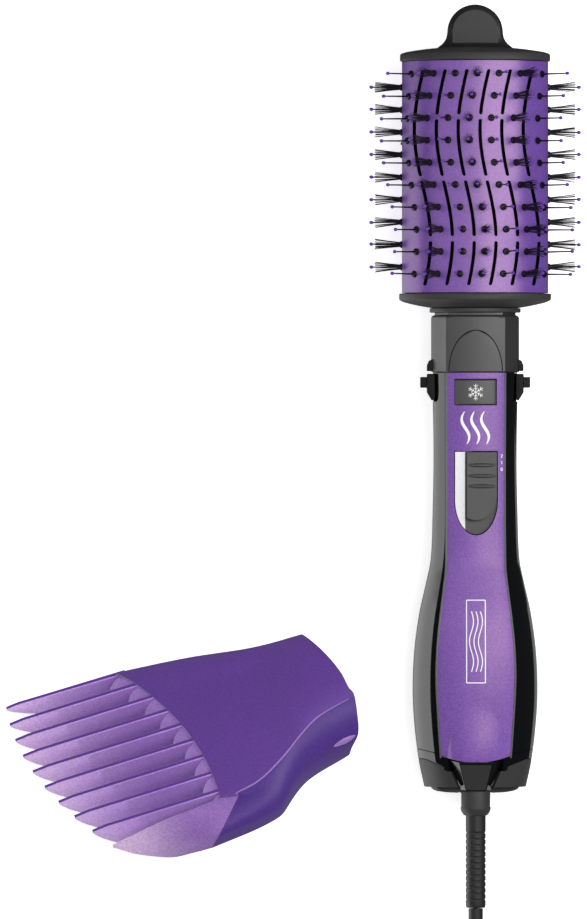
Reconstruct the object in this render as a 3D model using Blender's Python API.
"""Hot air brush with a removable bristle barrel, a swivel cord and a spare comb nozzle.

The brush lies on its back on a surface at z = 0, its bristles and the flat on its handle touching.
Shapes are worked out in millimetres in the brush's own frame (x across, y along the brush towards
the cool tip, z out of the front face) and are turned into metres when a mesh is made.
"""
import math

import bmesh
import bpy
from mathutils import Matrix, Vector

MM = 0.001
GAP = 0.3

# Lying pose: the head end is lifted by its bristles. The axis starts at this point.
REST_TILT = math.radians(4.05)
BRUSH_X = 82.37
BRUSH_Y = -147.87
BRUSH_Z = 23.266

# Handle casing: half width at stations along the brush, and its section.
HANDLE_STATIONS = ((0, 22.9), (12, 25.4), (30, 27.5), (45, 28.1), (62, 27.3), (78, 25.1),
                   (92, 22.0), (102, 20.0), (120, 19.2), (150, 18.7), (186, 19.3))
PANEL_STATIONS = ((11, 15.2), (25, 16.2), (48, 17.4), (62, 17.0), (75, 15.8), (88, 14.2),
                  (100, 13.0), (186, 13.0))
SECTION_POWER = 2.3
FRONT_DEPTH = 0.93
BACK_DEPTH = 0.95
HANDLE_TOP = 185.9
SHELL_BOTTOM = 13.0
CAP_TOP = SHELL_BOTTOM - 0.4
SHELL_WALL = 2.4
SCREW_YS = (104.0, 142.0)
PANEL_WALL = 2.0
PANEL_GAP = 0.45

# Cord boss at the front of the lower end, and the swelling of the panel above it.
BOSS_Z = 16.0
BOSS_TOP_HALF = 11.7
BOSS_FOOT_HALF = 6.6
BOSS_FOOT = -1.4
SWELL_TOP = 38.0
SWELL_HEIGHT = 3.6
SWELL_HALF = 13.5

# Controls on the front panel.
COOL_Y = 177.2
COOL_SIZE = (18.3, 11.2)
COOL_BASE = 15.4
WELL_TOP = 150.8
WELL_STRAIGHT = 128.7
WELL_BOTTOM = 113.0
WELL_HALF = 9.8
PLATE_Z = (12.6, 14.3)
SLIDER_TOP = 150.2
SLIDER_STRAIGHT = 131.0
SLIDER_BOTTOM = 119.8
SLIDER_X = (-4.0, 9.4)
SLIDER_Z = (14.6, 19.0)
RIDGE_YS = (144.4, 139.7, 135.0)

# Release buttons on the sides of the handle's top.
RELEASE_Y = (175.0, 185.5)
RELEASE_X = (18.0, 21.7)
RELEASE_KNOB_X = 24.7
RELEASE_KNOB_Y = (179.3, 184.3)
RELEASE_HALF_Z = 4.2
HOOK_Y = (186.8, 192.0)
HOOK_X = 21.6

# Air path: motor, fan and heater share one axis.
AXIS_Z = -0.5
WIRE_R = 0.7
MOTOR_Y = (48.0, 86.0)
MOTOR_R = 13.5
MOUNT_BORE = 14.4
FAN_Y = (31.0, 42.0)
FAN_R = 19.9
BLADES = 7
BLADE_LEAN = math.radians(35)
SHAFT_R = 1.15
HEATER_Y = (153.0, 206.0)
DUCT_START = 151.2
DUCT_R = 13.8
SPIGOT_R = 14.6
SPIGOT_BORE = 12.9
FLANGE_R = 15.1
SPIGOT_Y = (184.4, 211.0)

# Brush head.
NECK_HALF = 19.8
NECK_DEPTH = 18.4
NECK_FLAT_Z = 16.6
NECK_Y = (186.4, 211.8)
RING_Y = (213.1, 215.0)
BARREL_Y = (221.9, 325.8)
BARREL_HALF = 32.9
BARREL_DEPTH = 26.0
BARREL_WALL = 2.0
CAP_DOME = 5.0
TIP_CENTRE_Y = 339.2
TIP_R = 12.5

# Bristles and the S-shaped air slots between their columns.
ROWS = 10
ROW_FIRST_Y = 320.0
ROW_PITCH = 9.98
SIDE_ROWS = 9
SIDE_FIRST_Y = 314.4
SIDE_PITCH = 10.1
COLUMN_PITCH = 9.75
FRONT_COLUMNS = tuple(0.5 + COLUMN_PITCH * k for k in range(-3, 4))
BACK_COLUMNS = tuple(COLUMN_PITCH * (k + 0.5) for k in range(-3, 3))
FRONT_SLOTS = tuple(0.5 + COLUMN_PITCH * (k + 0.5) for k in range(-3, 3))
BACK_SLOTS = tuple(COLUMN_PITCH * k for k in range(-2, 3))
SLOT_SPANS = ((301.5, 321.8), (274.0, 299.5), (247.0, 272.0), (225.0, 244.8))
SLOT_HALF = 0.75
WAVE = 3.6
WAVE_PERIOD = 99.5
BRISTLE_REACH = 13.6
BAND_HALF = 1.2
BAND_LIFT = 0.55
BAND_THICK = 0.6
BAND_SAG = 0.42

# Cord: a mains lead that leaves the strain relief, drops to the surface and is coiled.
CORD_R = 3.25
RELIEF_END = -54.0
COLLAR_END = -12.6
COIL_RADII = (25.4, 46.0)
COIL_HEIGHT = 19.8
COIL_INNER_TURN = 29.0
COIL_CENTRE = (BRUSH_X - 42.4, BRUSH_Y - 222.0)
PLUG_HALF = (9.5, 8.0)

# Spare comb nozzle, lying beside the brush.
COMB_DOCK = (BRUSH_X - 64.2, BRUSH_Y + 42.5)
COMB_YAW = math.radians(197.6)
COMB_ROLL = math.radians(28.0)
COMB_PITCH = math.radians(-4.0)
COMB_SECTIONS = ((0, -29.5, 30, 21, -22), (25, -30.5, 36.5, 19, -23), (50, -35.7, 50, 14, -25),
                 (75, -40.3, 55, 9, -26))
COMB_POWER = 2.5
DOCK_BOW = (-5.8, 5.0, 35.0, 10.8)
COMB_WALL = 2.2
COMB_SHEAR = 0.287
TEETH = 10
TOOTH_FIRST = -40.7
TOOTH_PITCH = 9.5
TOOTH_THICK = 2.2


# ---------------------------------------------------------------- helpers

def material(name, colour, roughness, metallic=0.0):
    mat = bpy.data.materials.new(name)
    mat.use_nodes = True
    shader = mat.node_tree.nodes["Principled BSDF"]
    shader.inputs["Base Color"].default_value = (*colour, 1.0)
    shader.inputs["Roughness"].default_value = roughness
    shader.inputs["Metallic"].default_value = metallic
    return mat


def empty(name, location, rotation):
    frame = bpy.data.objects.new(name, None)
    frame.location = Vector(location) * MM
    frame.rotation_euler = rotation
    bpy.context.scene.collection.objects.link(frame)
    return frame


def add_object(name, bm, mat, parent=None, origin=(0, 0, 0)):
    """Turns a bmesh in millimetres into an object in metres whose origin is the given point."""
    bmesh.ops.recalc_face_normals(bm, faces=bm.faces)
    bm.transform(Matrix.Scale(MM, 4) @ Matrix.Translation(-Vector(origin)))
    mesh = bpy.data.meshes.new(name)
    bm.to_mesh(mesh)
    bm.free()
    mesh.materials.append(mat)
    mesh.shade_smooth()
    mesh.set_sharp_from_angle(angle=math.radians(35))
    obj = bpy.data.objects.new(name, mesh)
    obj.location = Vector(origin) * MM
    obj.parent = parent
    bpy.context.scene.collection.objects.link(obj)
    return obj


def boolean(obj, bm, operation="DIFFERENCE", parent=None):
    """Cuts a hidden guide solid out of an object, or joins it on."""
    guide = add_object(obj.name + "_guide", bm, obj.data.materials[0], parent)
    guide.hide_render = True
    guide.display_type = "WIRE"
    step = obj.modifiers.new(operation.lower(), "BOOLEAN")
    step.operation = operation
    step.solver = "EXACT"
    step.object = guide


def skin(bm, rings, closed=False, cap_ends=True):
    """Joins rings of points into one skin. Closed rings of rings make a torus-like body."""
    loops = [[bm.verts.new(p) for p in ring] for ring in rings]
    pairs = list(zip(loops, loops[1:]))
    if closed:
        pairs.append((loops[-1], loops[0]))
    count = len(loops[0])
    for low, high in pairs:
        for i in range(count):
            j = (i + 1) % count
            bm.faces.new((low[i], low[j], high[j], high[i]))
    if cap_ends and not closed:
        bm.faces.new(loops[0])
        bm.faces.new(loops[-1])


def loft(rings, closed=False):
    bm = bmesh.new()
    skin(bm, rings, closed)
    return bm


def patch(outer, inner):
    """A curved plate between two grids of points, with its four rims."""
    bm = bmesh.new()
    out = [[bm.verts.new(p) for p in row] for row in outer]
    inn = [[bm.verts.new(p) for p in row] for row in inner]
    rows, cols = len(out), len(out[0])
    for i in range(rows - 1):
        for j in range(cols - 1):
            bm.faces.new((out[i][j], out[i][j + 1], out[i + 1][j + 1], out[i + 1][j]))
            bm.faces.new((inn[i][j], inn[i + 1][j], inn[i + 1][j + 1], inn[i][j + 1]))
    for j in range(cols - 1):
        bm.faces.new((out[0][j], inn[0][j], inn[0][j + 1], out[0][j + 1]))
        bm.faces.new((out[-1][j], out[-1][j + 1], inn[-1][j + 1], inn[-1][j]))
    for i in range(rows - 1):
        bm.faces.new((out[i][0], out[i + 1][0], inn[i + 1][0], inn[i][0]))
        bm.faces.new((out[i][-1], inn[i][-1], inn[i + 1][-1], out[i + 1][-1]))
    return bm


def prism(outline, low, high, axis="Z"):
    """An outline of (a, b) points pushed along an axis: Z takes (x, y), Y (x, z) and X (y, z)."""
    place = {"Z": lambda a, b, c: (a, b, c), "Y": lambda a, b, c: (a, c, b),
             "X": lambda a, b, c: (c, a, b)}[axis]
    return loft([[place(a, b, c) for a, b in outline] for c in (low, high)])


def merge(*parts):
    """Puts several bmeshes into one."""
    whole = parts[0]
    for part in parts[1:]:
        moved = {v: whole.verts.new(v.co) for v in part.verts}
        for face in part.faces:
            whole.faces.new([moved[v] for v in face.verts])
        part.free()
    return whole


def block(x, y, z):
    return prism(((x[0], y[0]), (x[1], y[0]), (x[1], y[1]), (x[0], y[1])), z[0], z[1])


def oval(a, b, y, count, centre_z=0.0, x=0.0):
    """A ring of points around the brush's axis, anticlockwise from +x towards +z."""
    turns = [2 * math.pi * k / count for k in range(count)]
    return [(x + a * math.cos(t), y, centre_z + b * math.sin(t)) for t in turns]


def turned(profile, count, centre_z=0.0, closed=True):
    """A body turned about a line parallel to y, from (radius, y) points."""
    return loft([oval(r, r, y, count, centre_z) for r, y in profile], closed)


def pipe(r_out, r_in, y, count, centre_z=0.0):
    low, high = y
    return turned(((r_out, low), (r_out, high), (r_in, high), (r_in, low)), count, centre_z)


def rod(radius, y, count, centre_z=0.0):
    return turned(((radius, y[0]), (radius, y[1])), count, centre_z, closed=False)


def along(stations, at):
    """A smooth curve through (place, value) stations."""
    if at <= stations[0][0]:
        return stations[0][1]
    if at >= stations[-1][0]:
        return stations[-1][1]
    i = max(k for k in range(len(stations) - 1) if stations[k][0] <= at)

    def slope(k):
        low, high = max(k - 1, 0), min(k + 1, len(stations) - 1)
        return (stations[high][1] - stations[low][1]) / (stations[high][0] - stations[low][0])

    (s0, v0), (s1, v1) = stations[i], stations[i + 1]
    span = s1 - s0
    t = (at - s0) / span
    return ((2 * t**3 - 3 * t**2 + 1) * v0 + (t**3 - 2 * t**2 + t) * span * slope(i)
            + (3 * t**2 - 2 * t**3) * v1 + (t**3 - t**2) * span * slope(i + 1))


def steps(low, high, count):
    return [low + (high - low) * k / count for k in range(count + 1)]


def signed_power(value, power):
    return math.copysign(abs(value) ** power, value)


def smooth_step(t):
    t = min(max(t, 0.0), 1.0)
    return t * t * (3 - 2 * t)


# ---------------------------------------------------------------- handle

def swell(x, y):
    """How far the front stands proud above the cord boss."""
    if abs(x) >= SWELL_HALF:
        return 0.0
    rise = smooth_step((SWELL_TOP - y) / (SWELL_TOP - CAP_TOP))
    return SWELL_HEIGHT * rise * (1 - (x / SWELL_HALF) ** 2) ** 1.5


def casing_point(y, angle, inset=0.0, swollen=True):
    """A point on the handle's section; inset moves it in from the outer surface."""
    half = along(HANDLE_STATIONS, y)
    depth = half * (FRONT_DEPTH if math.sin(angle) > 0 else BACK_DEPTH)
    x = (half - inset) * signed_power(math.cos(angle), 2 / SECTION_POWER)
    z = (depth - inset) * signed_power(math.sin(angle), 2 / SECTION_POWER)
    if swollen and z > 0:
        z += swell(x, y)
    return (x, y, z)


def edge_angle(y, x):
    """The section angle at which the casing's front reaches a given half width."""
    return math.acos(min(x / along(HANDLE_STATIONS, y), 1.0) ** (SECTION_POWER / 2))


def casing_rows(low, high):
    inner = [y for y in (24, 36, 48, 60, 72, 82, 92, 98, 105, 120, 150)
             if low + 2 < y < high - 2]
    return [low, *inner, high]


def rear_shell(mat, frame):
    """The glossy casing: one trough that wraps round both sides and the back."""
    outer, inner = [], []
    for y in casing_rows(SHELL_BOTTOM, HANDLE_TOP):
        edge = edge_angle(y, along(PANEL_STATIONS, y) + PANEL_GAP)
        turns = steps(math.pi - edge, 2 * math.pi + edge, 22)
        outer.append([casing_point(y, t, swollen=False) for t in turns])
        inner.append([casing_point(y, t, SHELL_WALL, swollen=False) for t in turns])
    obj = add_object("rear_shell", patch(outer, inner), mat, frame)
    window_y = (RELEASE_Y[0] - 0.4, HANDLE_TOP + 5)
    window_z = (-RELEASE_HALF_Z - 0.4, RELEASE_HALF_Z + 0.4)
    windows = merge(block((14, 30), window_y, window_z), block((-30, -14), window_y, window_z))
    boolean(obj, windows, parent=frame)
    # A flat is cut where the casing rests on the surface.
    beyond = 2 * HANDLE_TOP
    below = block((BRUSH_X - beyond, BRUSH_X + beyond), (BRUSH_Y - beyond, BRUSH_Y + beyond),
                  (-beyond, 0))
    boolean(obj, below)
    return obj


def panel_bottom(x):
    return 11.3 + 2.9 * (x / 15.4) ** 2


def well_outline(half, top, straight, bottom, x=0.2, count=14):
    """A flat-topped outline with a half-ellipse below."""
    turns = steps(0, -math.pi, count)
    curve = [(x + half * math.cos(t), straight + (straight - bottom) * math.sin(t)) for t in turns]
    return [(x + half, top), *curve, (x - half, top)]


def front_panel(mat, frame):
    outer, inner = [], []
    for row in steps(0, 1, 18):
        out_row, in_row = [], []
        guess = SHELL_BOTTOM + row * (HANDLE_TOP - SHELL_BOTTOM)
        edge = edge_angle(guess, along(PANEL_STATIONS, guess))
        for t in steps(edge, math.pi - edge, 12):
            x = casing_point(guess, t)[0]
            y = panel_bottom(x) + row * (HANDLE_TOP - panel_bottom(x))
            out_row.append(casing_point(y, t))
            in_row.append(casing_point(y, t, PANEL_WALL))
        outer.append(out_row)
        inner.append(in_row)
    obj = add_object("front_panel", patch(outer, inner), mat, frame)
    half_x, half_y = COOL_SIZE[0] / 2 + 0.35, COOL_SIZE[1] / 2 + 0.35
    cool = block((-half_x, half_x), (COOL_Y - half_y, COOL_Y + half_y), (5, 30))
    well = prism(well_outline(WELL_HALF, WELL_TOP, WELL_STRAIGHT, WELL_BOTTOM), 5, 30)
    boolean(obj, merge(cool, well), parent=frame)


def switch_parts(plastic, silver, frame):
    plate = prism(well_outline(WELL_HALF - 0.35, WELL_TOP - 0.35, WELL_STRAIGHT,
                               WELL_BOTTOM + 0.35), *PLATE_Z)
    add_object("switch_plate", plate, plastic, frame)
    curve = [p for p in well_outline(WELL_HALF - 0.5, WELL_TOP - 0.5, WELL_STRAIGHT,
                                     WELL_BOTTOM + 0.5) if p[0] < SLIDER_X[0] - 0.5]
    strip = [(SLIDER_X[0] - 0.5, WELL_TOP - 0.5), *reversed(curve),
             (SLIDER_X[0] - 0.5, curve[0][1] - 1.4)]
    add_object("switch_inlay", prism(strip, PLATE_Z[1] + GAP, PLATE_Z[1] + 1.6), silver, frame)


def switch_slider(mat, frame):
    """The thumb slide with three raised ridges, which moves towards the cord."""
    half = SLIDER_X[1] - 0.2
    curve = [p for p in well_outline(half, SLIDER_TOP, SLIDER_STRAIGHT, SLIDER_BOTTOM)
             if p[0] > SLIDER_X[0]]
    outline = [*curve, (SLIDER_X[0], curve[-1][1] + 1.0), (SLIDER_X[0], SLIDER_TOP)]
    origin = (0, SLIDER_TOP, SLIDER_Z[0])
    obj = add_object("switch_slider", prism(outline, *SLIDER_Z), mat, frame, origin)
    centre = (SLIDER_X[0] + SLIDER_X[1]) / 2
    top = SLIDER_Z[1]
    ridges = []
    for y in RIDGE_YS:
        profile = ((y - 1.5, top - 0.5), (y + 1.5, top - 0.5), (y + 0.5, top + 0.8),
                   (y - 0.5, top + 0.8))
        ridges.append(prism(profile, centre - 5.4, centre + 5.4, axis="X"))
    boolean(obj, merge(*ridges), "UNION", frame)


def cool_button(mat, frame):
    half_x, half_y = COOL_SIZE[0] / 2, COOL_SIZE[1] / 2
    cap = [(-half_x, COOL_BASE), (half_x, COOL_BASE), (half_x, 16.6), (half_x * 0.5, 18.1), (0, 18.5),
           (-half_x * 0.5, 18.1), (-half_x, 16.6)]
    body = prism(cap, COOL_Y - half_y, COOL_Y + half_y, axis="Y")
    add_object("cool_button", body, mat, frame, (0, COOL_Y, COOL_BASE))


def release_button(name, side, mat, frame):
    """A wedge-ended block with a square knob, pressed in towards the brush's middle."""
    low, high = RELEASE_Y
    inner, outer = RELEASE_X
    outline = ((inner, low), (outer - 1.6, low), (outer, low + 5.0), (outer, RELEASE_KNOB_Y[0]),
               (RELEASE_KNOB_X, RELEASE_KNOB_Y[0] + 0.5), (RELEASE_KNOB_X, RELEASE_KNOB_Y[1] - 0.5),
               (outer, RELEASE_KNOB_Y[1]), (outer, high), (inner, high))
    outline = [(side * x, y) for x, y in outline]
    body = prism(outline, -RELEASE_HALF_Z, RELEASE_HALF_Z)
    add_object(name, body, mat, frame, (side * inner, (low + high) / 2, 0))


def helix_object(name, radius, wire, low, high, turns, mat, frame, axis, centre):
    """A round wire wound along x or y."""
    points = []
    count = int(turns * 12)
    for k in range(count + 1):
        t = k / count
        angle = 2 * math.pi * turns * t
        a, b = radius * math.cos(angle), radius * math.sin(angle)
        place = low + (high - low) * t
        if axis == "Y":
            points.append((centre[0] + a, place, centre[1] + b))
        else:
            points.append((place, centre[0] + a, centre[1] + b))
    tube_object(name, points, wire, mat, frame)


def tube_object(name, points, radius, mat, frame, roundness=0):
    curve = bpy.data.curves.new(name, "CURVE")
    curve.dimensions = "3D"
    curve.bevel_depth = radius * MM
    curve.bevel_resolution = roundness
    curve.use_fill_caps = True
    spline = curve.splines.new("POLY")
    spline.points.add(len(points) - 1)
    for slot, point in zip(spline.points, points):
        slot.co = (*(Vector(point) * MM), 1.0)
    curve.materials.append(mat)
    obj = bpy.data.objects.new(name, curve)
    obj.parent = frame
    bpy.context.scene.collection.objects.link(obj)


def boss_edge(y):
    """Half width of the cord boss, wide at the panel and narrow at the collar."""
    t = (y - BOSS_FOOT) / (CAP_TOP - BOSS_FOOT)
    return BOSS_FOOT_HALF + (BOSS_TOP_HALF - BOSS_FOOT_HALF) * min(max(t, 0), 1)


def rear_cap(mat, frame):
    """The dark end ring of the casing, open at the front where the cord boss sits."""
    outer, inner = [], []
    for y in steps(0, CAP_TOP, 3):
        half = along(HANDLE_STATIONS, y)
        edge = edge_angle(y, (boss_edge(y) + 0.5) * half / (half - SHELL_WALL))
        turns = steps(math.pi - edge, 2 * math.pi + edge, 30)
        outer.append([casing_point(y, t, swollen=False) for t in turns])
        inner.append([casing_point(y, t, SHELL_WALL, swollen=False) for t in turns])
    add_object("rear_cap", patch(outer, inner), mat, frame)


def cord_boss(mat, frame):
    rings = []
    for row in steps(0, 1, 4):
        ring = []
        width = BOSS_FOOT_HALF + (BOSS_TOP_HALF - BOSS_FOOT_HALF) * row
        front = 22.6 + 4.6 * row
        facet = 4.3 + 1.7 * row
        outline = ((-width, 9.2), (width, 9.2), (width, front - 6.0), (facet + 1.6, front - 1.0),
                   (facet, front), (-facet, front), (-facet - 1.6, front - 1.0),
                   (-width, front - 6.0))
        for x, z in outline:
            ring.append((x, BOSS_FOOT + row * (panel_bottom(x) - 0.9 - BOSS_FOOT), z))
        rings.append(ring)
    add_object("cord_boss", loft(rings), mat, frame)


def inlet_grille(mat, frame):
    """The domed air intake with slots, which pulls off with its lint filter."""
    def outline(scale, y):
        ring = []
        for x, _, z in oval(19.9, 17.5, y, 28, -1.6):
            ring.append((x * scale, y, -6.3 + (min(z, 7.4) + 6.3) * scale))
        return ring

    outer = [outline(1.0, 5.0), outline(1.0, -0.6), outline(0.86, -2.2), outline(0.45, -3.0)]
    inner = [outline(0.42, -1.5), outline(0.80, -0.7), outline(0.92, 0.8), outline(0.92, 5.0)]
    bm = loft(outer + inner, closed=True)
    # The middle of the dome is filled by a plate that joins both skins.
    centre = loft([outline(0.50, -3.05), outline(0.50, -1.45)])
    obj = add_object("inlet_grille", bm, mat, frame)
    boolean(obj, centre, "UNION", frame)
    slots = [block((x - 0.8, x + 0.8), (-9, 2.5), (-6.3 - reach, -6.3 + reach))
             for x, reach in ((-12.6, 5.5), (-8.4, 8), (-4.2, 9), (0, 9), (4.2, 9), (8.4, 8),
                              (12.6, 5.5))]
    boolean(obj, merge(*slots), parent=frame)


def lint_filter(mat, frame):
    ring = [(x * 0.88, y, -6.3 + (min(z, 7.4) + 6.3) * 0.88) for x, y, z in
            oval(19.9, 17.5, 0, 24, -1.6)]
    low = [(x, 3.4, z) for x, _, z in ring]
    high = [(x, 4.2, z) for x, _, z in ring]
    add_object("lint_filter", loft([low, high]), mat, frame)


def swivel_parts(plastic, rubber, frame):
    origin = (0, BOSS_FOOT, BOSS_Z)
    collar = turned(((6.5, BOSS_FOOT - 0.3), (6.5, -9.3), (5.9, -11.4), (4.9, COLLAR_END),
                     (2.0, COLLAR_END), (2.0, BOSS_FOOT - 0.3)), 24, BOSS_Z)
    add_object("swivel_collar", collar, plastic, frame, origin)
    profile = [(4.5, COLLAR_END - 0.3), (4.5, -19.0)]
    y = -20.0
    while y > RELIEF_END + 3:
        profile += [(4.5, y), (3.7, y - 0.8), (4.5, y - 1.6)]
        y -= 2.72
    profile += [(4.3, RELIEF_END + 0.5), (4.0, RELIEF_END)]
    relief = turned(profile, 8, BOSS_Z, closed=False)
    add_object("strain_relief", relief, rubber, frame, origin)


def motor_parts(steel, plastic, dark, frame):
    low, high = MOTOR_Y
    can = turned(((MOTOR_R - 1.5, low), (MOTOR_R, low + 1.5), (MOTOR_R, high - 1.5),
                  (MOTOR_R - 1.5, high)), 28, AXIS_Z, closed=False)
    add_object("motor_can", can, steel, frame)
    vanes, angles = [], []
    for k in range(6):
        turn = 2 * math.pi * k / 6
        for offset, radius in ((-0.26, 15.6), (-0.07, 15.6), (-0.045, 21.5), (0.045, 21.5),
                               (0.07, 15.6), (0.26, 15.6)):
            angles.append(turn + offset)
            vanes.append((radius * math.cos(angles[-1]), AXIS_Z + radius * math.sin(angles[-1])))
    inner = [(MOUNT_BORE * math.cos(a), AXIS_Z + MOUNT_BORE * math.sin(a)) for a in angles]
    rings = [[(x, y, z) for x, z in line]
             for line, y in ((vanes, 56), (vanes, 74), (inner, 74), (inner, 56))]
    add_object("motor_mount", loft(rings, closed=True), plastic, frame)
    origin = (0, FAN_Y[0], AXIS_Z)
    add_object("motor_shaft", rod(SHAFT_R, (28.0, low - 0.3), 12, AXIS_Z), steel, frame, origin)
    hub = pipe(5.5, SHAFT_R + 0.3, FAN_Y, 20, AXIS_Z)
    fan = add_object("fan_impeller", hub, dark, frame, origin)
    blades = []
    for turn in ring_turns(BLADES):
        spin = Matrix.Translation((0, 0, AXIS_Z)) @ Matrix.Rotation(turn, 4, "Y")
        lean = Matrix.Rotation(BLADE_LEAN, 4, "X")
        blade = block((4.8, FAN_R), (-0.6, 0.6), (-5.0, 5.0))
        blade.transform(spin @ Matrix.Translation((0, sum(FAN_Y) / 2, 0)) @ lean)
        blades.append(blade)
    for blade in blades:
        boolean(fan, blade, "UNION", frame)


def heater_parts(mica, wire, metal, plastic, frame):
    low, high = HEATER_Y
    t, reach = 0.6, 10.4
    cross = [(-t, -reach), (t, -reach), (t, -t), (reach, -t), (reach, t), (t, t), (t, reach),
             (-t, reach), (-t, t), (-reach, t), (-reach, -t), (-t, -t)]
    cross = [(x, z + AXIS_Z) for x, z in cross]
    add_object("heater_frame", prism(cross, low, high, axis="Y"), mica, frame)
    helix_object("heater_coil", 11.1, 0.35, low + 4, high - 6, 6, wire, frame, "Y", (0, AXIS_Z))
    add_object("heat_shield", pipe(12.6, 12.2, (low - 1, high), 24, AXIS_Z), mica, frame)
    add_object("thermostat", block((2.6, 7.0), (158, 167), (2.4, 6.2)), metal, frame)
    spigot = turned(((DUCT_R, DUCT_START), (DUCT_R, 183.2), (FLANGE_R, 183.2), (FLANGE_R, 185.6),
                     (SPIGOT_R, 185.6), (SPIGOT_R, SPIGOT_Y[1]), (SPIGOT_BORE, SPIGOT_Y[1]),
                     (SPIGOT_BORE, DUCT_START)), 28, AXIS_Z)
    add_object("air_spigot", spigot, plastic, frame)


def electrics(board, plastic, dark, steel, frame):
    add_object("circuit_board", block((-13, 13), (89, 112), (8.0, 9.4)), board, frame)
    add_object("ion_module", block((-8, 8), (91, 100), (-12, -4)), dark, frame)
    add_object("slide_switch", block((-5, 7), (117, 147), (4.5, PLATE_Z[0] - GAP)), plastic, frame)
    add_object("cool_switch", block((-3, 3), (COOL_Y - 3, COOL_Y + 3), (13.7, 14.6)), dark, frame)
    for name, side in (("release_spring_left", -1), ("release_spring_right", 1)):
        helix_object(name, 1.8, 0.3, side * 14.4, side * 16.5, 3, steel, frame, "X",
                     (178.4, 0.0))


def screws(mat, shell, frame):
    """Two self-tapping screws sunk in the back of the casing."""
    for k, y in enumerate(SCREW_YS):
        hole = prism([(3.0 * math.cos(t), y + 3.0 * math.sin(t)) for t in ring_turns(12)], -25, -12)
        boolean(shell, hole, parent=frame)
        stages = ((2.6, -17.4), (2.6, -16.2), (1.3, -15.0), (1.3, -10.5))
        body = loft([[(r * math.cos(t), y + r * math.sin(t), z) for t in ring_turns(12)]
                     for r, z in stages])
        add_object(f"casing_screw_{k + 1}", body, mat, frame, (0, y, -17.4))


def ring_turns(count):
    return [2 * math.pi * k / count for k in range(count)]


def wires(rubber, frame):
    """Two insulated wires from the swivel's contacts to the circuit board."""
    for name, side in (("live_wire", -1), ("neutral_wire", 1)):
        route = [Vector(p) for p in ((side * 2.5, 12.6, 12.8), (side * 6, 20, 13),
                                     (side * 15.5, 34, 14.2), (side * 16.5, 50, 14.2),
                                     (side * 16.0, 66, 14.2), (side * 11.0, 82, 13.0),
                                     (side * 8.0, 88.2, 11.4), (side * 8.0, 92, 10.6))]
        tube_object(name, curve_points(route, 4.0), WIRE_R, rubber, frame)


# ---------------------------------------------------------------- brush head

def neck_ring_points(half, depth, y, flat):
    ring = []
    for k in range(36):
        t = 2 * math.pi * k / 36
        x = half * signed_power(math.cos(t), 2 / SECTION_POWER)
        z = depth * signed_power(math.sin(t), 2 / SECTION_POWER)
        ring.append((x, y, min(z, flat)))
    return ring


def neck_sleeve(mat, frame):
    low, high = NECK_Y
    wall = 2.3
    stages = ((NECK_HALF, low), (NECK_HALF, high), (NECK_HALF - 1.2, high), (NECK_HALF - 1.2, 212.8))
    rings = [neck_ring_points(h, h - NECK_HALF + NECK_DEPTH, y, NECK_FLAT_Z + h - NECK_HALF)
             for h, y in stages]
    for y in (212.8, low):
        rings.append(neck_ring_points(NECK_HALF - wall, NECK_DEPTH - wall, y, NECK_FLAT_Z - 0.9))
    obj = add_object("neck_sleeve", loft(rings, closed=True), mat, frame)
    hooks = []
    for side in (-1, 1):
        outline = [(side * 18.6, HOOK_Y[0]), (side * HOOK_X, HOOK_Y[0]),
                   (side * HOOK_X, HOOK_Y[1] - 1.5), (side * 18.6, HOOK_Y[1] + 0.6)]
        hooks.append(prism(outline, -RELEASE_HALF_Z, RELEASE_HALF_Z))
    boolean(obj, merge(*hooks), "UNION", frame)


def head_caps(mat, frame):
    low, high = RING_Y
    ring = [oval(20.5, 19.2, low, 36), oval(20.5, 19.2, high, 36), oval(17, 16.4, high, 36),
            oval(17, 16.4, low, 36)]
    add_object("neck_ring", loft(ring, closed=True), mat, frame)
    rim = BARREL_HALF + 1.3
    sink = BARREL_HALF - BARREL_DEPTH

    def dome(half):
        return 218.7 - CAP_DOME * (1 - (half / rim) ** 2)

    rings = [oval(rim, rim - sink, BARREL_Y[0] - GAP, 36), oval(rim, rim - sink, 218.7, 36)]
    for half in (31.0, 27.0, 22.5):
        rings.append(oval(half, half - sink * (half - 17) / (rim - 17), dome(half), 36))
    rings += [oval(17, 17, dome(20.0), 36), oval(17, 17, BARREL_Y[0] - GAP, 36)]
    add_object("lower_cap", loft(rings, closed=True), mat, frame)
    rim = BARREL_HALF + 0.9
    base = BARREL_Y[1] + GAP
    rings = [oval(rim, rim - sink, base, 36), oval(rim, rim - sink, 329.0, 36)]
    for half, rise in ((32.0, 330.2), (26.0, 331.3), (16.0, 332.2), (5.0, 332.6)):
        rings.append(oval(half, half * (rim - sink) / rim, rise, 36))
    add_object("upper_cap", loft(rings), mat, frame)


def cool_tip(mat, frame):
    """The flat finger tab that stays cool, on its flared foot."""
    rings = []
    foot = ((333.0, 16.7, 9.0), (334.2, 14.6, 7.0), (336.0, 13.1, 5.4), (338.0, TIP_R, 4.6))
    for y, half, depth in foot:
        rings.append(rounded_ring(half, depth, y))
    for k in range(1, 8):
        t = math.radians(12 * k)
        rings.append(rounded_ring(TIP_R * math.cos(t), 4.6 - 0.12 * k,
                                  TIP_CENTRE_Y + TIP_R * math.sin(t)))
    add_object("cool_tip", loft(rings), mat, frame)


def rounded_ring(half, depth, y, count=20):
    ring = []
    for k in range(count):
        t = 2 * math.pi * k / count
        ring.append((half * signed_power(math.cos(t), 0.75), y,
                     depth * signed_power(math.sin(t), 0.6)))
    return ring


def wave(y):
    """Sideways sway of the bristle columns and slots along the barrel."""
    return -WAVE * math.sin(2 * math.pi * (ROW_FIRST_Y - y) / WAVE_PERIOD)


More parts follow.
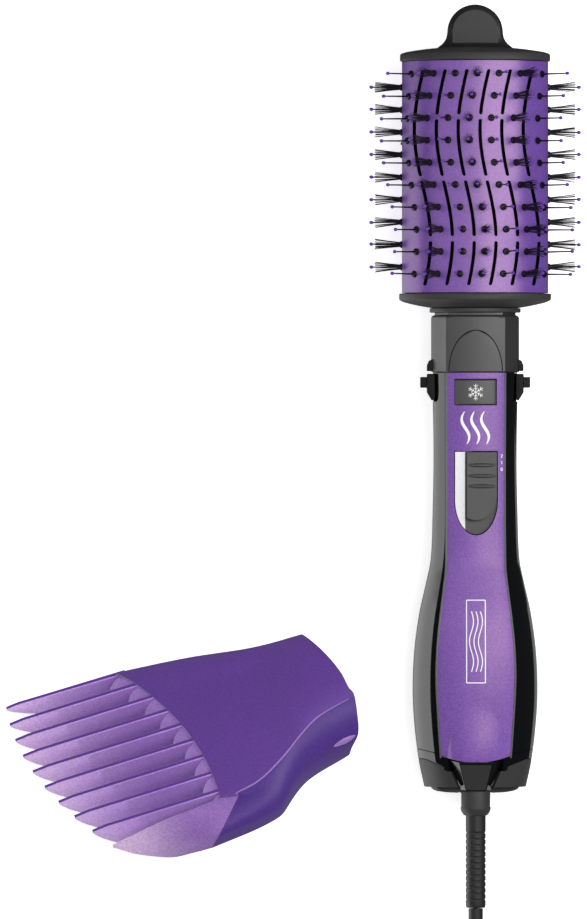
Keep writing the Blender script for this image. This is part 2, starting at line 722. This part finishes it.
def barrel(mat, frame):
    low, high = BARREL_Y
    a, b, w = BARREL_HALF, BARREL_DEPTH, BARREL_WALL
    rings = [oval(a, b, low, 52), oval(a, b, high, 52), oval(a - w, b - w, high, 52),
             oval(a - w, b - w, low, 52)]
    obj = add_object("barrel", loft(rings, closed=True), mat, frame)
    cutters = []
    for columns, depth in ((FRONT_SLOTS, (3, 40)), (BACK_SLOTS, (-40, -3))):
        for column in columns:
            for y0, y1 in SLOT_SPANS:
                ys = steps(y0, y1, 3)
                outline = [(column + wave(y) + SLOT_HALF, y) for y in ys]
                outline += [(column + wave(y) - SLOT_HALF, y) for y in reversed(ys)]
                cutters.append(prism(outline, *depth))
    boolean(obj, merge(*cutters), parent=frame)
    add_object("inner_core", pipe(15.6, 14.4, (low + 0.3, high - 0.3), 24), mat, frame)


def surface_frame(t, lift):
    """A point on the barrel's oval at angle t, raised along its normal, and that normal."""
    normal = Vector((math.cos(t) / BARREL_HALF, 0, math.sin(t) / BARREL_DEPTH)).normalized()
    point = Vector((BARREL_HALF * math.cos(t), 0, BARREL_DEPTH * math.sin(t)))
    return point + normal * lift, normal


def turn_for(x, shift, back):
    """The oval's angle for a bristle at x, swayed along the surface by shift."""
    t = math.acos(x / BARREL_HALF)
    speed = math.hypot(BARREL_HALF * math.sin(t), BARREL_DEPTH * math.cos(t))
    t -= shift / speed
    return -t if back else t


def link_parts(start, end):
    """How many straight links keep the band between two bristles off the barrel."""
    middle = (start + end) / 2
    speed = math.hypot(BARREL_HALF * math.sin(middle), BARREL_DEPTH * math.cos(middle))
    radius = speed**3 / (BARREL_HALF * BARREL_DEPTH)
    return math.ceil((end - start) * speed / math.sqrt(8 * radius * BAND_SAG))


def bristle_ring(name, y, mat, frame):
    """One row of bristles on a thin band that wraps round the barrel."""
    turns = [turn_for(x, wave(y), False) for x in FRONT_COLUMNS]
    turns += [2 * math.pi + turn_for(x, wave(y), True) for x in BACK_COLUMNS]
    turns.sort()
    stations = []
    for k, t in enumerate(turns):
        spread = BAND_HALF / math.hypot(BARREL_HALF * math.sin(t), BARREL_DEPTH * math.cos(t))
        stations += [(t - spread, True), (t + spread, False)]
        following = turns[(k + 1) % len(turns)] + (2 * math.pi if k + 1 == len(turns) else 0)
        parts = link_parts(t, following)
        stations += [(t + (following - t) * p / parts, False) for p in range(1, parts)]
    bm = bmesh.new()
    loops = []
    for t, _ in stations:
        low, _ = surface_frame(t, BAND_LIFT)
        high, _ = surface_frame(t, BAND_LIFT + BAND_THICK)
        loops.append([bm.verts.new((p.x, y + side * BAND_HALF, p.z))
                      for p, side in ((low, -1), (low, 1), (high, 1), (high, -1))])
    for k, (t, has_pin) in enumerate(stations):
        here, ahead = loops[k], loops[(k + 1) % len(loops)]
        for i in (0, 1, 3):
            j = (i + 1) % 4
            bm.faces.new((here[i], here[j], ahead[j], ahead[i]))
        top = bm.faces.new((here[2], here[3], ahead[3], ahead[2]))
        if has_pin:
            pull_bristle(bm, top, (t + stations[k + 1][0]) / 2, y)
    add_object(name, bm, mat, frame)


def pull_bristle(bm, face, turn, y):
    """Draws a face of the band out into a tapering bristle."""
    tip, _ = surface_frame(turn, BRISTLE_REACH)
    centre = Vector((tip.x, y, tip.z))
    drawn = bmesh.ops.extrude_discrete_faces(bm, faces=[face])["faces"][0]
    middle = drawn.calc_center_median()
    normal = surface_frame(turn, 0)[1]
    for vert in drawn.verts:
        offset = vert.co - middle
        vert.co = centre + (offset - normal * offset.dot(normal)) * 0.7


def side_bristles(name, turn, mat, frame):
    """The straight column of bristles at one side of the barrel."""
    bm = bmesh.new()
    stations = []
    for k in range(SIDE_ROWS):
        y = SIDE_FIRST_Y - k * SIDE_PITCH
        stations += [(y + BAND_HALF, True), (y - BAND_HALF, False)]
    side = math.copysign(1, math.cos(turn))
    low = BARREL_HALF + BAND_LIFT + BAND_THICK + 0.4
    loops = [[bm.verts.new((side * x, y, z)) for x, z in
              ((low, -BAND_HALF), (low, BAND_HALF), (low + BAND_THICK, BAND_HALF),
               (low + BAND_THICK, -BAND_HALF))] for y, _ in stations]
    for k in range(len(loops) - 1):
        here, ahead = loops[k], loops[k + 1]
        for i in (0, 1, 3):
            j = (i + 1) % 4
            bm.faces.new((here[i], here[j], ahead[j], ahead[i]))
        top = bm.faces.new((here[2], here[3], ahead[3], ahead[2]))
        if stations[k][1]:
            pull_bristle(bm, top, turn, (stations[k][0] + stations[k + 1][0]) / 2)
    bm.faces.new(loops[0])
    bm.faces.new(loops[-1])
    add_object(name, bm, mat, frame)


# ---------------------------------------------------------------- cord

def curve_points(route, spacing):
    """Evenly spread points on a smooth curve through the route's own points."""
    fine = []
    ends = [route[0] * 2 - route[1], *route, route[-1] * 2 - route[-2]]
    for a, b, c, d in zip(ends, ends[1:], ends[2:], ends[3:]):
        for k in range(24):
            t = k / 24
            fine.append(0.5 * ((2 * b) + (c - a) * t + (2 * a - 5 * b + 4 * c - d) * t * t
                               + (3 * b - a - 3 * c + d) * t**3))
    fine.append(route[-1])
    total = sum((q - p).length for p, q in zip(fine, fine[1:]))
    count = max(int(total / spacing), 2)
    points, walked, target = [fine[0]], 0.0, total / count
    for p, q in zip(fine, fine[1:]):
        length = (q - p).length
        while length and walked + length >= target and len(points) < count:
            points.append(p.lerp(q, (target - walked) / length))
            target += total / count
        walked += length
    points.append(fine[-1])
    return points


def cord_parts(rubber, brass, frame):
    start = frame.matrix_world @ (Vector((0, RELIEF_END - GAP, BOSS_Z)) * MM) / MM
    x, y, z = start
    floor = CORD_R + 0.1
    route = [start, Vector((x, y - 12, z - 1.2)), Vector((x, y - 26, z - 5.2)),
             Vector((x, y - 42, z - 13.5)), Vector((x, y - 58, z - 23.0)),
             Vector((x, y - 72, floor + 1.6)), Vector((x, y - 84, floor)),
             Vector((x, y - 98, floor)), Vector((x, COIL_CENTRE[1] + 25.6, floor))]
    tube_object("cord", curve_points(route, 2.2 * CORD_R * 2), CORD_R, rubber, None, 2)
    inner, outer = COIL_RADII
    ring = []
    for radius, height in ((outer - 3, 0.05), (outer, 3.0), (outer, COIL_HEIGHT - 3),
                           (outer - 3, COIL_HEIGHT), (inner + 3, COIL_HEIGHT),
                           (inner, COIL_HEIGHT - 3), (inner, 3.0), (inner + 3, 0.05)):
        ring.append([(COIL_CENTRE[0] + radius * math.cos(2 * math.pi * k / 24),
                      COIL_CENTRE[1] + radius * math.sin(2 * math.pi * k / 24), height)
                     for k in range(24)])
    add_object("cord_coil", loft(ring, closed=True), rubber)
    plug_parts(rubber, brass)


def plug_parts(rubber, brass):
    """A two-blade plug lying across the top of the coil."""
    plug = empty("plug_axis", (COIL_CENTRE[0] + COIL_INNER_TURN, COIL_CENTRE[1] - 44,
                               COIL_HEIGHT + GAP + PLUG_HALF[1]), (0, 0, 0))
    stages = ((0, 7.5, 6.8), (1.5, PLUG_HALF[0], PLUG_HALF[1]), (20, PLUG_HALF[0], PLUG_HALF[1]),
              (30, 6.5, 6.0), (42, 4.6, 4.6))
    rings = [rounded_ring(half, depth, y, 16) for y, half, depth in stages]
    add_object("plug_body", loft(rings), rubber, plug)
    for name, x in (("plug_blade_left", -6.35), ("plug_blade_right", 6.35)):
        blade = block((x - 0.75, x + 0.75), (-16.6, -GAP), (-3.2, 3.2))
        add_object(name, blade, brass, plug)


# ---------------------------------------------------------------- comb nozzle

def comb_section(u):
    """Left, right, top and bottom of the nozzle's section at u from its dock; v runs to the right."""
    places = [s[0] for s in COMB_SECTIONS]
    return [along([(p, s[1 + k]) for p, s in zip(places, COMB_SECTIONS)], u) for k in range(4)]


def dock_bow(v):
    """How far the dock's rim lies along u: it bulges in the middle."""
    least, middle, reach, rise = DOCK_BOW
    return least + rise * ((v - middle) / reach) ** 2


def comb_ring(u, inset, shear, count=28):
    """One ring of the nozzle's skin; shear slants the lip towards the right-hand teeth."""
    ring = []
    left, right, top, bottom = comb_section(u)
    middle, half = (left + right) / 2, (right - left) / 2 - inset
    for k in range(count):
        t = 2 * math.pi * k / count
        v = middle + half * signed_power(math.cos(t), 2 / COMB_POWER)
        height = (top if math.sin(t) > 0 else -bottom) - inset
        w = height * signed_power(math.sin(t), 2 / COMB_POWER)
        bow = dock_bow(v) if u == 0 else 0
        ring.append((-v, u + bow - shear * COMB_SHEAR * v, w))
    return ring


def comb_blade(v):
    """One deep tooth: a straight top edge and an underside that curves up to the point."""
    place = (v - 2.0) / 43.0
    root = 68.0 - COMB_SHEAR * v
    tip = 138.0 - 0.28 * v - 8.0 * place * place
    left, right, top, bottom = comb_section(75)
    middle, half = (left + right) / 2, (right - left) / 2
    reach = (1 - min(abs(v - middle) / half, 0.98) ** COMB_POWER) ** (1 / COMB_POWER)
    rightness = (v - TOOTH_FIRST) / (TOOTH_PITCH * (TEETH - 1))
    high, low = (top - 1.0) * reach, (bottom + 1.0) * reach ** (1 - 0.75 * rightness)
    outline = [(root, high), (tip - 4, high * 0.55 + 1.2), (tip, high * 0.5 - 1.0)]
    for t in (0.80, 0.55, 0.30):
        outline.append((root + (tip - root) * t, high * 0.5 - 1.0 + (low - high * 0.5) *
                        (1 - t ** 2.4)))
    outline.append((root, low))
    return prism(outline, -v - TOOTH_THICK / 2, -v + TOOTH_THICK / 2, axis="X")


def comb_parts(mat, dark, frame):
    places = ((0, 0), (12, 0), (25, 0.15), (38, 0.4), (50, 0.7), (62, 0.9), (74, 1.0))
    outer = [comb_ring(u, 0, shear) for u, shear in places]
    inner = [comb_ring(u, COMB_WALL, shear) for u, shear in reversed(places)]
    obj = add_object("comb_nozzle", loft(outer + inner, closed=True), mat, frame)
    blades = [comb_blade(TOOTH_FIRST + k * TOOTH_PITCH) for k in range(TEETH)]
    boolean(obj, merge(*blades), "UNION", frame)
    ring = [oval(27.0, 17.8, -3.5, 32), oval(27.0, 17.8, 8, 32), oval(17.2, 16.4, 8, 32),
            oval(17.2, 16.4, -3.5, 32)]
    add_object("comb_collar", loft(ring, closed=True), dark, frame)


def lowest(objects):
    """The lowest world height of the objects' finished meshes."""
    bpy.context.view_layer.update()
    graph = bpy.context.evaluated_depsgraph_get()
    heights = []
    for obj in objects:
        shape = obj.evaluated_get(graph)
        heights += [(shape.matrix_world @ v.co).z for v in shape.data.vertices]
    return min(heights)


# ---------------------------------------------------------------- assembly

def clear_scene():
    for obj in list(bpy.data.objects):
        bpy.data.objects.remove(obj)


def main():
    clear_scene()
    purple = material("pearl_purple", (0.19, 0.07, 0.36), 0.35, 0.3)
    comb_purple = material("comb_purple", (0.11, 0.035, 0.27), 0.45)
    gloss = material("gloss_black", (0.012, 0.012, 0.013), 0.08)
    satin = material("satin_charcoal", (0.05, 0.05, 0.05), 0.4)
    silver = material("silver_white", (0.75, 0.75, 0.77), 0.3, 0.4)
    rubber = material("cord_rubber", (0.02, 0.02, 0.021), 0.5)
    nylon = material("bristle_nylon", (0.015, 0.012, 0.02), 0.4)
    steel = material("steel", (0.6, 0.6, 0.6), 0.3, 1.0)
    brass = material("plug_brass", (0.75, 0.6, 0.3), 0.3, 1.0)
    mica = material("mica", (0.62, 0.55, 0.42), 0.5)
    wire = material("heater_wire", (0.35, 0.33, 0.3), 0.4, 1.0)
    board = material("board_green", (0.03, 0.14, 0.06), 0.5)
    inner = material("inner_plastic", (0.2, 0.2, 0.2), 0.5)

    brush = empty("brush_axis", (BRUSH_X, BRUSH_Y, BRUSH_Z), (REST_TILT, 0, 0))
    bpy.context.view_layer.update()

    shell = rear_shell(gloss, brush)
    screws(steel, shell, brush)
    front_panel(purple, brush)
    switch_parts(satin, silver, brush)
    switch_slider(satin, brush)
    cool_button(satin, brush)
    release_button("release_button_left", -1, gloss, brush)
    release_button("release_button_right", 1, gloss, brush)
    rear_cap(satin, brush)
    cord_boss(gloss, brush)
    inlet_grille(satin, brush)
    lint_filter(inner, brush)
    swivel_parts(satin, rubber, brush)
    motor_parts(steel, inner, satin, brush)
    heater_parts(mica, wire, steel, satin, brush)
    electrics(board, inner, satin, steel, brush)
    wires(rubber, brush)

    neck_sleeve(satin, brush)
    head_caps(satin, brush)
    cool_tip(satin, brush)
    barrel(purple, brush)
    for row in range(ROWS):
        bristle_ring(f"bristle_row_{row + 1:02d}", ROW_FIRST_Y - row * ROW_PITCH, nylon, brush)
    side_bristles("side_bristles_right", 0.0, nylon, brush)
    side_bristles("side_bristles_left", math.pi, nylon, brush)

    cord_parts(rubber, brass, brush)

    comb = empty("comb_axis", (*COMB_DOCK, 0), (0, 0, 0))
    turn = (Matrix.Rotation(COMB_YAW - math.pi / 2, 4, "Z") @ Matrix.Rotation(-COMB_PITCH, 4, "X")
            @ Matrix.Rotation(COMB_ROLL, 4, "Y"))
    comb.rotation_euler = turn.to_euler()
    comb_parts(comb_purple, satin, comb)
    comb.location.z = -lowest([o for o in comb.children if not o.hide_render])


main()
